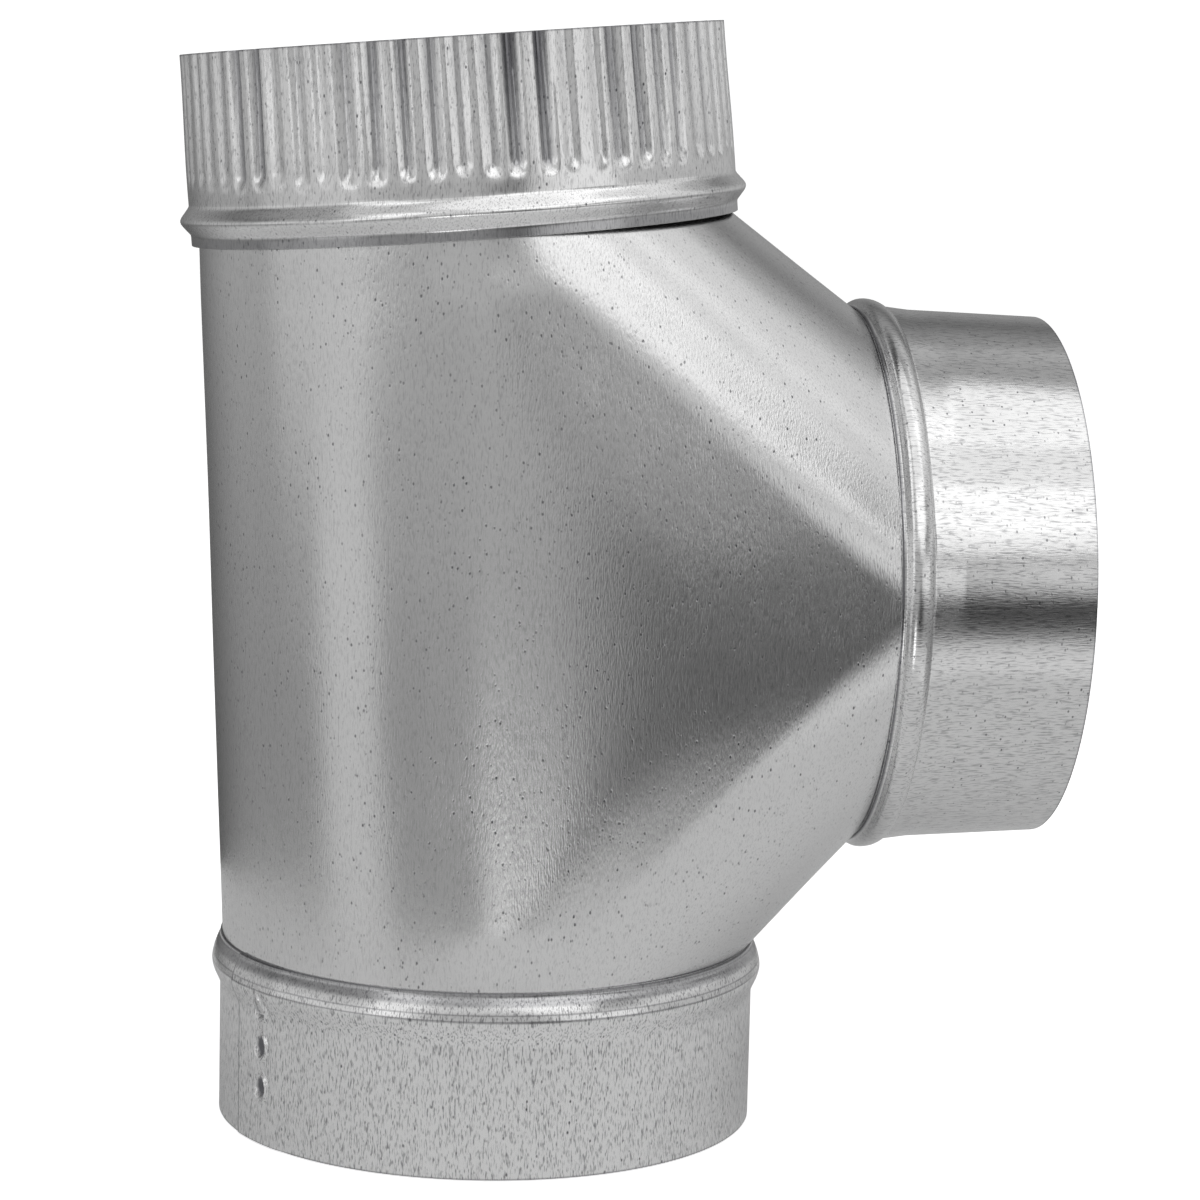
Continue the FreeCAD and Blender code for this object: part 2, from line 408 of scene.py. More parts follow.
@dataclass(frozen=True)
class GalvanisedSheet:
    """Hot-dip galvanised steel sheet, skin passed between rolls.

    The zinc gives a light satin grey; the rolls leave short fine lines along the
    sheet, which break up the edges of reflections, and the coat has scattered dark
    pits half a millimetre wide, in clusters, with fainter specks between them.
    Where the shade-and-wear attribute is high the sheet turns a darker grey: painted shade in seams, grooves,
    button hollows and on beads, and the real dull steel of cut ends.
    Sizes are in millimetres, and a dot's size is a share of the dots' spacing.
    """

    name: str
    rolling: Rolling
    roughness: float
    streaks: float
    line_relief: float
    light: str = "E9E9E9"
    dark: str = "7C7C7F"
    # Darker grey for painted shade, and for the wear of cut steel.
    shade_and_wear_tone: str = "5A5A60"
    pit: str = "5E5E62"
    # Real rolling lines are about 0.1 wide; they are drawn as coarse as they need to show.
    line_width: float = 0.40
    line_length: float = 2.2
    cluster: float = 26.0
    calm: float = 0.45
    pit_spacing: float = 2.3
    pit_size: float = 0.155
    speck_spacing: float = 1.7
    speck_size: float = 0.17
    speck_share: float = 0.4
    pit_sink: float = -0.6

    def dots(
        self, tree: NodeTree, place: NodeSocket, spacing: float, size: float
    ) -> NodeSocket:
        """Scattered dots of uneven size, a little longer upright.

        Args:
            tree: node tree that receives the nodes.
            place: coordinates, in metres.
            spacing: distance between dots, in millimetres.
            size: largest radius of a dot, as a share of the spacing.

        Returns:
            A value of 1 inside the dots and 0 outside.
        """
        scaled = add(
            tree, "ShaderNodeMapping", in0=place, Rotation=(0.35, 0.6, 0.2),
            Scale=(1000 / spacing, 1000 / spacing, 600 / spacing),
        ).outputs[0]
        distance = add(tree, "ShaderNodeTexVoronoi", Vector=scaled, Scale=1.0).outputs["Distance"]
        return add(
            tree, "ShaderNodeMapRange", Value=distance, in1=size * 0.45, in2=size, in3=1.0, in4=0.0,
        ).outputs[0]

    def lines(self, tree: NodeTree, place: NodeSocket) -> NodeSocket:
        """Short fine lines along the way the sheet was rolled.

        Args:
            tree: node tree that receives the nodes.
            place: coordinates, in metres.

        Returns:
            A value of about 0 to 1, low on a line.
        """
        across, along = 1000 / self.line_width, 1000 / self.line_length
        upright = self.rolling is Rolling.UPRIGHT
        stretch = (across, across, along) if upright else (along, across, across)
        scaled = add(tree, "ShaderNodeMapping", in0=place, Scale=stretch).outputs[0]
        return add(
            tree, "ShaderNodeTexNoise", Vector=scaled, Scale=1.0, Detail=1.5, Roughness=0.6,
        ).outputs["Fac"]

    def build(self) -> Material:
        """Make the material.

        Returns:
            The material.
        """
        material = bpy.data.materials.new(self.name)
        material.use_nodes = True
        tree = material.node_tree
        shader = tree.nodes["Principled BSDF"]
        place = add(tree, "ShaderNodeTexCoord").outputs["Object"]
        lines = self.lines(tree, place)
        patches = add(
            tree, "ShaderNodeTexNoise", Vector=place, Scale=1000 / self.cluster, Detail=3.0, Roughness=0.6,
        ).outputs["Fac"]
        strength = add(
            tree, "ShaderNodeMapRange", Value=patches, in1=0.35, in2=0.65, in3=self.calm, in4=1.0,
        ).outputs[0]
        dots = self.dots(tree, place, self.pit_spacing, self.pit_size)
        pits = self.maths(tree, "MULTIPLY", dots, strength)
        specks = self.dots(tree, place, self.speck_spacing, self.speck_size)
        faint = self.maths(tree, "MULTIPLY", specks, self.speck_share)
        dull = self.maths(tree, "MAXIMUM", pits, faint)
        tone = add(
            tree, "ShaderNodeMapRange", Value=lines, in1=0.30, in2=0.50, in3=1.0 - self.streaks, in4=1.0,
        ).outputs[0]
        streaked = self.blend(tree, tone, linear(self.dark), linear(self.light))
        pitted = self.blend(tree, dull, streaked, linear(self.pit))
        # Painted shade and wear: the attribute blends in the darker grey.
        shade_and_wear = add(tree, "ShaderNodeAttribute", {"attribute_name": SHADE_AND_WEAR_ATTRIBUTE}).outputs["Fac"]
        final = self.blend(tree, shade_and_wear, pitted, linear(self.shade_and_wear_tone))
        height = self.maths(tree, "MULTIPLY", lines, strength)
        relief = self.maths(tree, "MULTIPLY_ADD", dull, self.pit_sink, height)
        normal = add(
            tree, "ShaderNodeBump", Height=relief, Strength=1.0, Distance=self.line_relief / 1000,
        ).outputs[0]
        tree.links.new(final, shader.inputs["Base Color"])
        tree.links.new(normal, shader.inputs["Normal"])
        shader.inputs["Metallic"].default_value = 1.0
        shader.inputs["Roughness"].default_value = self.roughness
        return material

    @staticmethod
    def maths(tree: NodeTree, operation: str, *values: object) -> NodeSocket:
        """Result of a sum on sockets or numbers."""
        inputs = {f"in{index}": value for index, value in enumerate(values)}
        return add(tree, "ShaderNodeMath", {"operation": operation}, **inputs).outputs[0]

    @staticmethod
    def blend(tree: NodeTree, share: object, first: object, second: object) -> NodeSocket:
        """Colour that goes from the first to the second as the share goes from 0 to 1."""
        mixed = add(tree, "ShaderNodeMix", {"data_type": "RGBA"}, Factor=share, in6=first, in7=second)
        return mixed.outputs[2]


@dataclass(frozen=True)
class PaperCard:
    """Matt white paper, evenly lit from within like a light table; with no glow it is plain card."""

    name: str
    glow: float
    tone: str = "F4F4F4"

    def build(self) -> Material:
        """Make the material.

        Returns:
            The material.
        """
        material = bpy.data.materials.new(self.name)
        material.use_nodes = True
        shader = material.node_tree.nodes["Principled BSDF"]
        shader.inputs["Base Color"].default_value = linear(self.tone)
        shader.inputs["Roughness"].default_value = 1.0
        shader.inputs["Specular IOR Level"].default_value = 0.0
        shader.inputs["Emission Color"].default_value = (1, 1, 1, 1)
        shader.inputs["Emission Strength"].default_value = self.glow
        return material


@dataclass
class TeeBody:
    """Folded body: heel, two gussets, two flat cheeks, the lap behind, and the necks in the collars.

    Rises, falls and leads are distances along the cheek over which its pillow comes
    and goes; blends are shares of its height over which one slope turns to the next.
    """

    material: Material
    bottom_radius: float = DUCT_RADIUS - SEAT_GAP
    top_radius: float = DUCT_RADIUS - SEAT_GAP - TOP_NECK_SHRINK
    branch_radius: float = DUCT_RADIUS - SEAT_GAP + BRANCH_NECK_GROWTH
    turns: int = 128
    rows: int = 60
    lap_steps: int = 12
    neck_steps: int = 192
    neck_row: float = 0.5
    pillow_height: float = 4.4
    heel_lead: float = 18.0
    heel_rise: float = 36.0
    branch_fall_end: float = 106.0
    branch_fall: float = 82.0
    fold_lead: float = 9.0
    upper_fall: float = 52.0
    lower_fall: float = 36.0
    crest_blend: float = 0.42
    fold_blend: float = 0.13
    foot_blend: float = 0.05
    cheek_facing: tuple[float, float] = (0.80, 0.97)
    edge_calm: tuple[float, float] = (0.5, 16.0)
    broad_wave: tuple[float, float, float] = (46.0, 60.0, 70.0)
    broad_height: float = 0.28
    fine_wave: tuple[float, float, float] = (17.0, 20.0, 34.0)
    fine_height: float = 0.045

    def build(self) -> Object:
        """Make the body.

        Returns:
            The finished piece.
        """
        bm = bmesh.new()
        bottom, top, branch = self.edges()
        self.ruled(bm, bottom, top)
        self.ruled(bm, top, branch)
        self.ruled(bm, branch, bottom)
        for angle in (0, 180):
            self.cheek(bm, angle)
        bmesh.ops.remove_doubles(bm, verts=bm.verts, dist=0.01)
        bmesh.ops.recalc_face_normals(bm, faces=bm.faces)
        self.shape(bm)
        bmesh.ops.solidify(bm, geom=bm.faces[:], thickness=SHEET)
        self.lap(bm)
        for (opening, radius), bead in zip(self.edges(), (BOTTOM_BEAD, TOP_BEAD, BRANCH_BEAD)):
            self.neck(bm, opening, radius, bead)
        return finished(bm, "tee_body_folded", self.material)

    def edges(self) -> tuple:
        """The body's three round edges, each an opening and a radius."""
        return (BOTTOM, self.bottom_radius), (TOP, self.top_radius), (BRANCH, self.branch_radius)

    def ruled(self, bm: BMesh, first: tuple, last: tuple) -> None:
        """Surface ruled between facing halves of two round edges.

        Args:
            bm: mesh that receives it.
            first: opening and radius of the edge whose +X half it starts from.
            last: opening and radius of the edge whose -X half it ends at.
        """
        chains = []
        for (opening, radius), side in ((first, 1), (last, -1)):
            angles = [side * 180 * index / self.turns for index in range(self.turns + 1)]
            chain = [bm.verts.new(opening.edge(radius, angle)) for angle in angles]
            chains += [bm.edges.new(pair) for pair in zip(chain, chain[1:])]
        self.bridged(bm, chains)

    def bridged(self, bm: BMesh, chains: list) -> None:
        """Bridge two chains of edges and cut the faces across into short rows.

        Args:
            bm: mesh that holds the edges.
            chains: the edges of both chains.
        """
        faces = bmesh.ops.bridge_loops(bm, edges=chains)["faces"]
        known = set(chains)
        across = dict.fromkeys(edge for face in faces for edge in face.edges if edge not in known)
        bmesh.ops.subdivide_edges(bm, edges=list(across), cuts=self.rows - 1, use_grid_fill=True)

    def cheek(self, bm: BMesh, angle: float) -> None:
        """Flat cheek between the points where the three edges touch one plane."""
        face = bm.faces.new([bm.verts.new(opening.edge(radius, angle)) for opening, radius in self.edges()])
        bmesh.ops.subdivide_edges(bm, edges=list(face.edges), cuts=self.rows - 1, use_grid_fill=True)

    def lap(self, bm: BMesh) -> None:
        """Second layer of sheet down the back of the heel, where the body is closed.

        Args:
            bm: mesh that receives it.
        """
        strip = bmesh.new()
        step = math.degrees(LAP_WIDTH / DUCT_RADIUS) / self.lap_steps
        turns = [BODY_LAP_TURN + step * index for index in range(self.lap_steps + 1)]
        lower = [strip.verts.new(BOTTOM.edge(self.bottom_radius + SHEET, turn)) for turn in turns]
        upper = [strip.verts.new(TOP.edge(self.top_radius + SHEET, -turn)) for turn in turns]
        chains = [strip.edges.new(pair) for chain in (lower, upper) for pair in zip(chain, chain[1:])]
        self.bridged(strip, chains)
        bmesh.ops.recalc_face_normals(strip, faces=strip.faces)
        strip.normal_update()
        if strip.faces[0].normal.x > 0:
            bmesh.ops.reverse_faces(strip, faces=strip.faces)
        self.shape(strip)
        bmesh.ops.solidify(strip, geom=strip.faces[:], thickness=SHEET)
        joined(bm, strip)

    def neck(self, bm: BMesh, opening: Opening, radius: float, bead: Bead) -> None:
        """Neck inside a collar, with its bead rolled into the collar's.

        Args:
            bm: mesh that receives it.
            opening: opening that it stands on.
            radius: radius of the body's edge there.
            bead: the collar's bead.
        """
        seat = bead.wall - SHEET - SEAT_GAP
        foot, end = bead.stations[0][0], bead.stations[-1][0]
        outer = []
        for height in heights((0.0, end, self.neck_row)):
            share = smooth(SEAM_GAP, foot + 1.0, height)
            outer.append((radius + (seat - radius) * share + bead.proud(height), height))
        neck = spun(sheet_loop(outer, SHEET), 0, 360, self.neck_steps)
        bmesh.ops.transform(neck, matrix=opening.place(), verts=neck.verts)
        joined(bm, neck)

    def shape(self, bm: BMesh) -> None:
        """Pillow the two cheeks a little and leave the faint waves of folded sheet.

        Args:
            bm: mesh of the sheet, with its normals out.
        """
        bm.normal_update()
        moves = []
        for vertex in bm.verts:
            x, y, z = vertex.co
            side = -1 if y < 0 else 1
            facing = smooth(*self.cheek_facing, side * vertex.normal.y)
            move = vertex.normal * self.waves(vertex.co) + Vector((0, side, 0)) * self.pillow(x, z) * facing
            moves.append(move * self.clear_of_edges(vertex.co))
        for vertex, move in zip(bm.verts, moves):
            vertex.co += move

    def pillow(self, x: float, z: float) -> float:
        """How far the cheek stands out: a soft crest by the heel, then a long fall to the branch.

        Args:
            x: distance towards the branch from the middle of the bottom opening, in millimetres.
            z: height above the floor, in millimetres.

        Returns:
            The distance out of the flat cheek, in millimetres.
        """
        past_heel = x + math.tan(LEAN) * (z - BOTTOM.z)
        rise = (past_heel + self.heel_lead) / self.heel_rise
        fall = (self.branch_fall_end - past_heel) / self.branch_fall
        upper = (self.fold_lead - self.past_fold(BRANCH, TOP, x, z)) / self.upper_fall
        lower = (self.fold_lead - self.past_fold(BOTTOM, BRANCH, x, z)) / self.lower_fall
        share = self.lowest(self.fold_blend, self.lowest(self.crest_blend, rise, fall), upper, lower)
        return self.pillow_height * self.foot_blend * math.log(1 + math.exp(share / self.foot_blend))

    @staticmethod
    def past_fold(first: Opening, last: Opening, x: float, z: float) -> float:
        """How far a point of the cheek lies outside the fold from one opening to another."""
        run, rise = last.x - first.x, last.z - first.z
        return ((x - first.x) * rise - (z - first.z) * run) / math.hypot(run, rise)

    @staticmethod
    def lowest(blend: float, *values: float) -> float:
        """Lowest of the values, with the change from one to the next blended."""
        return -blend * math.log(sum(math.exp(-value / blend) for value in values))

    def waves(self, place: Vector) -> float:
        """Faint low waves of the sheet.

        Args:
            place: point of the sheet, in millimetres.

        Returns:
            How far the sheet stands out there, in millimetres.
        """
        broad = ripple(11.0, *(value / length for value, length in zip(place, self.broad_wave)))
        fine = ripple(12.0, *(value / length for value, length in zip(place, self.fine_wave)))
        return self.broad_height * broad + self.fine_height * fine

    def clear_of_edges(self, place: Vector) -> float:
        """How free a point is to move.

        Args:
            place: point of the sheet, in millimetres.

        Returns:
            0 at the three round edges, rising to 1 a little way in.
        """
        share = 1.0
        for opening in (BOTTOM, TOP, BRANCH):
            depth = -(opening.place().inverted() @ place).z
            share *= smooth(*self.edge_calm, depth)
        return share


@dataclass
class Collar:
    """One collar: its bead, its wall and, where it has one, the lap of its seam.

    The wall is a list of heights above the seam with the outer radius at each, the seam-shade height and
    share say how high and how dark the painted shade in and above the seam's groove is, and the lap-edge
    share how dark the painted shadow line along the edge of the lap is.
    """

    name: str
    opening: Opening
    bead: Bead
    length: float
    material: Material
    wall: tuple[tuple[float, float], ...]
    steps: int = 256
    lap_turn: float | None = None
    lap_line: float = 0.2
    lap_steps: int = 80
    lap_row: float = 0.4
    lap_ramp: float = 0.6
    lap_thickness: float = 0.9 * SHEET
    lap_inset: float = 0.12
    # Painted shade at the seam; at the cut end, painted shade with the dull steel of the cut.
    seam_shade_height: float = 0.9
    seam_shade_share: float = 0.8
    cut_end_shade_and_wear: float = 0.75
    end_row: float = 0.6

    def radius(self, height: float) -> float:
        """Outer radius of the collar, bead included.

        Args:
            height: height above the seam, in millimetres.

        Returns:
            The radius, in millimetres.
        """
        base = self.wall[0][1]
        for (low, low_radius), (high, high_radius) in zip(self.wall, self.wall[1:]):
            if height >= low:
                base = low_radius + (high_radius - low_radius) * min((height - low) / (high - low), 1.0)
        return base + self.bead.proud(height)

    def bead_end(self) -> float:
        """Height a little above the bead."""
        return self.bead.stations[-1][0] + 1

    def rows(self) -> Triples:
        """Runs of rows between the seam and the cut end: start, end and step."""
        end = self.bead_end()
        return (SEAM_GAP, end, 0.35), (end, self.length - self.end_row, 2.5)

    def outline(self) -> Face:
        """Closed outline of the collar's sheet."""
        found = heights(*self.rows(), (self.length - self.end_row, self.length, self.end_row / 2))
        return sheet_loop([(self.radius(height), height) for height in found], SHEET)

    def relief(self, radius: float, angle: float, height: float) -> float:
        """How far a point is moved out from the plain spun form, in millimetres."""
        return 0.0

    def lap_relief(self, radius: float, angle: float, height: float) -> float:
        """Further relief of the outer layer of the lap."""
        return 0.0

    def rubbing(self, radius: float, angle: float, height: float) -> float:
        """Share of painted shade and wear at a point, from 0 to 1."""
        return self.seam_shade_and_cut_edge(height)

    def seam_shade_and_cut_edge(self, height: float) -> float:
        """Painted shade in the groove of the seam and up to the seam-shade height above it, and along the cut
        end dull cut steel with painted shade of the inside.
        """
        foot = self.seam_shade_share * (1 - smooth(self.seam_shade_height * 0.6, self.seam_shade_height, height))
        return foot + self.cut_end_shade_and_wear * smooth(self.length - 0.5, self.length - 0.1, height)

    def build(self) -> Object:
        """Make the collar.

        Returns:
            The finished piece.
        """
        bm = spun(self.outline(), 0, 360, self.steps)
        shade_and_wear = bm.verts.layers.float.new(SHADE_AND_WEAR_ATTRIBUTE)
        for vertex in bm.verts:
            radius, angle, height = polar(vertex)
            vertex[shade_and_wear] = self.rubbing(radius, angle, height)
            set_radius(vertex, radius + self.relief(radius, angle, height))
        if self.lap_turn is not None:
            joined(bm, self.lap(self.lap_turn))
        bmesh.ops.transform(bm, matrix=self.opening.place(), verts=bm.verts)
        return finished(bm, self.name, self.material)

    def lap(self, edge_turn: float) -> BMesh:
        """Outer layer of the lap, ending in a clean edge and sinking in at the far side.

        Args:
            edge_turn: angle of the outer sheet's edge from the front.

        Returns:
            A new mesh in the opening's frame.
        """
        cover = math.degrees(LAP_WIDTH / DUCT_RADIUS)
        ramp = cover * self.lap_ramp
        start, landing = edge_turn - cover - ramp, edge_turn - cover
        found = heights((SEAM_GAP + 0.1, self.length - self.lap_inset, self.lap_row))
        loop = sheet_loop([(self.radius(height) + SHEET, height) for height in found], self.lap_thickness)
        layer = spun(loop, start, cover + ramp, self.lap_steps)
        shade_and_wear = layer.verts.layers.float.new(SHADE_AND_WEAR_ATTRIBUTE)
        for vertex in layer.verts:
            radius, angle, height = polar(vertex)
            # Painted shadow line along the step at the edge of the lap.
            edge_shade = self.lap_line * smooth(edge_turn - 0.55, edge_turn - 0.1, angle)
            vertex[shade_and_wear] = max(self.rubbing(radius, angle, height), edge_shade)
            sink = (SHEET + self.lap_inset) * (1 - smooth(start, landing, angle))
            offset = self.relief(radius - SHEET, angle, height) + self.lap_relief(radius, angle, height)
            set_radius(vertex, radius - sink + offset)
        return layer


@dataclass
class BottomCollar(Collar):
    """Plain collar whose lap is held by clinch buttons, pressed in with one side sheared.

    Thin painted shade lines on the bead stand in for the shading of the fine grooves left by the beading
    roll: each is a height, a width and a share of painted shade.
    """

    button_turn: float = 60.8
    button_heights: tuple[float, ...] = (35.8, 24.2, 13.2)
    button_size: float = 3.3
    button_squat: float = 0.86
    button_depth: float = 0.46
    button_swell: float = 1.0
    button_dish_shade: float = 0.9
    dimple_depth: float = 0.9
    # Painted shade lines for the roll grooves, and a painted grey where the bead's upper slope faces up.
    roll_groove_shades: Triples = ((5.9, 0.7, 0.5), (7.6, 0.7, 0.6))
    bead_slope_shade: tuple[float, float] = (3.2, 4.2)
    bead_slope_shade_share: float = 0.45

    def rows(self) -> Triples:
        """Runs of rows, close enough for the roll marks and the buttons' dimples."""
        bead = (SEAM_GAP, 5.2, 0.4), (5.2, 8.4, 0.2), (8.4, self.bead_end(), 0.4)
        return *bead, (self.bead_end(), 42.0, 1.2), (42.0, self.length - self.end_row, 3.0)

    def apart(self, radius: float, angle: float, height: float) -> list[tuple[float, float]]:
        """For each button near a point, how far along and how far apart from its centre it is.

        Args:
            radius: the point's radius.
            angle: its angle from the front, in degrees.
            height: its height above the seam.

        Returns:
            The two distances for each button that is near, in millimetres.
        """
        along = math.radians(angle - self.button_turn) * radius
        rises = [(height - centre) * self.button_squat for centre in self.button_heights]
        places = [(along, math.hypot(along, rise)) for rise in rises]
        return [place for place in places if place[1] < 2 * self.button_size]

    def relief(self, radius: float, angle: float, height: float) -> float:
        """Soft dimples round the buttons, through both layers of the lap."""
        near = self.apart(radius, angle, height)
        return -self.dimple_depth * sum(bump(0.0, 4 * self.button_size, distance) for _, distance in near)

    def rubbing(self, radius: float, angle: float, height: float) -> float:
        """Painted shade in the hollow of each button on its sheared side, painted shade lines for the bead's
        fine roll grooves, and a painted grey on the bead's upper slope.

        Args:
            radius: the point's radius.
            angle: its angle from the front, in degrees.
            height: its height above the seam.

        Returns:
            The share of painted shade and wear, from 0 to 1.
        """
        # Painted shade of the roll grooves and of the bead's upward-facing slope.
        rolled = sum(dullness * bump(mark, width, height) for mark, width, dullness in self.roll_groove_shades)
        rolled += self.bead_slope_shade_share * (1 - smooth(*self.bead_slope_shade, height))
        size = self.button_size
        # Painted shade inside each button's hollow, on its sheared side.
        dish_shade = sum(
            (1 - smooth(size * 0.55, size * 0.85, distance)) * smooth(-0.9, -0.2, along / size)
            for along, distance in self.apart(radius, angle, height)
        )
        return max(rolled, self.seam_shade_and_cut_edge(height)) + self.button_dish_shade * dish_shade

    def lap_relief(self, radius: float, angle: float, height: float) -> float:
        """The buttons in the outer layer: dished half moons with a raised lip round the whole side.

        Args:
            radius: the point's radius.
            angle: its angle from the front, in degrees.
            height: its height above the seam.

        Returns:
            How far out the point is moved, in millimetres.
        """
        size = self.button_size
        relief = 0.0
        for along, distance in self.apart(radius, angle, height):
            dish = 1 - smooth(size * 0.60, size * 0.86, distance)
            lip = bump(size * 1.08, size * 0.6, distance)
            whole = 1 - smooth(-0.2, 0.9, -along / size)
            relief += self.button_swell * lip * (1 - 0.75 * whole) - self.button_depth * dish
        return relief


@dataclass
class CrimpedCollar(Collar):
    """Male collar with grooves pressed in all round, each a little different.

    The spreads say how far a groove's place, in degrees, its width, as a share, its
    start, in millimetres, and its depth, as a share, go with its unevenness.
    """

    crimps: int = 64
    root: float = 15.3
    run_in: float = 4.5
    root_share: float = 0.75
    depth: float = 1.8
    shrink: float = 0.8
    floor_share: float = 0.14
    land_share: float = 0.40
    roundness: float = 0.4
    place_spread: float = 1.1
    width_spread: float = 0.28
    start_spread: float = 1.4
    depth_spread: float = 0.45
    usual_strength: float = 0.85
    deep: tuple[int, ...] = (1, 2)
    deep_strength: float = 1.3
    faint: tuple[int, ...] = (3, 4, 56, 57, 58, 48, 49, 50, 51)
    faint_strength: float = 0.55
    groove_floor_shade: float = 0.60
    deep_groove_shade: float = 0.25

    def rows(self) -> Triples:
        """Runs of rows, with short steps where the crimps run in."""
        run_in = (self.bead_end(), 24.0, 0.8)
        return (SEAM_GAP, self.bead_end(), 0.6), run_in, (24.0, self.length - self.end_row, 4.0)

    def relief(self, radius: float, angle: float, height: float) -> float:
        """Depth of the crimps and the draw-in of the end."""
        return -self.depth * self.groove(angle, height) - self.shrink * smooth(self.root, self.length, height)

    def rubbing(self, radius: float, angle: float, height: float) -> float:
        """Painted shade on the floors of the crimps, darker in the deepest grooves.

        Args:
            radius: the point's radius.
            angle: its angle from the front, in degrees.
            height: its height above the seam.

        Returns:
            The dullness, from 0 to 1.
        """
        share = self.groove(angle, height)
        # Painted shade: the deeper the groove, the darker its floor.
        floor = self.groove_floor_shade * smooth(0.3, 1.0, share)
        deep = self.deep_groove_shade * smooth(1.0, self.deep_strength, share)
        return max(floor + deep, self.seam_shade_and_cut_edge(height))

    def groove(self, angle: float, height: float) -> float:
        """Depth of the crimps at a point.

        Args:
            angle: angle from the front, in degrees.
            height: height above the seam, in millimetres.

        Returns:
            The depth as a share of the usual one.
        """
        pitch = 360 / self.crimps
        nearest = round(angle / pitch)
        deepest = 0.0
        for index in (nearest - 1, nearest, nearest + 1):
            key = index % self.crimps
            centre = index * pitch + self.place_spread * Uneven.PLACE.of(key)
            width = 1.0 + self.width_spread * Uneven.WIDTH.of(key)
            start = self.root + self.start_spread * Uneven.START.of(key)
            offset = abs(angle - centre) / pitch
            floor = self.floor_share / 2 * width
            edge = (1 - self.land_share) / 2 * width + floor
            across = min(max((edge - offset) / (edge - floor), 0.0), 1.0)
            shape = (1 - self.roundness) * across + self.roundness * smooth(0.0, 1.0, across)
            depth = self.root_share * smooth(start, start + self.run_in, height)
            depth += (1 - self.root_share) * smooth(start, self.length, height)
            deepest = max(deepest, shape * self.strength(key) * depth)
        return deepest

    def strength(self, key: int) -> float:
        """Share of the full depth that one groove has.

        Args:
            key: number of the groove.

        Returns:
            The share, above 1 for a deep groove.
        """
        if key in self.deep:
            return self.deep_strength
        faint = self.faint_strength if key in self.faint else 1.0
        return faint * (self.usual_strength + self.depth_spread * Uneven.DEPTH.of(key))


@dataclass(frozen=True)
class Softbox:
    """One soft light, by the direction and the angle that the tee sees it in, in degrees."""

    name: str
    azimuth: float
    elevation: float
    width: float
    height: float
    radiance: float


SOFTBOXES = (
    Softbox("panel_high_right", 84, 33, 50, 50, 0.28),
    Softbox("panel_mid_left", -72, 17, 50, 50, 0.173),
    Softbox("strip_high_front_right", 24, 33, 50, 16, 0.46),
    Softbox("panel_ceiling_front_right", 30, 78, 40, 40, 0.527),
    Softbox("strip_low_left", -62, -14, 26, 14, 0.279),
    Softbox("spot_low_front", -10, -22, 17, 15, 1.292),
    Softbox("strip_mid_front_right", 24, 20, 24, 12, 0.446),
    Softbox("panel_high_front_left", -45, 30, 20, 60, 0.49),
    Softbox("panel_high_front", 0, 57, 80, 80, 0.39),
    Softbox("panel_high_back_right", 105, 48, 50, 50, 0.223),
    Softbox("panel_high_front_right", 40, 45, 60, 30, 0.258),
    Softbox("strip_low_front_right", 40, 4, 40, 12, 0.435),
    Softbox("panel_low_front_right", 30, -30, 60, 20, 0.306),
)


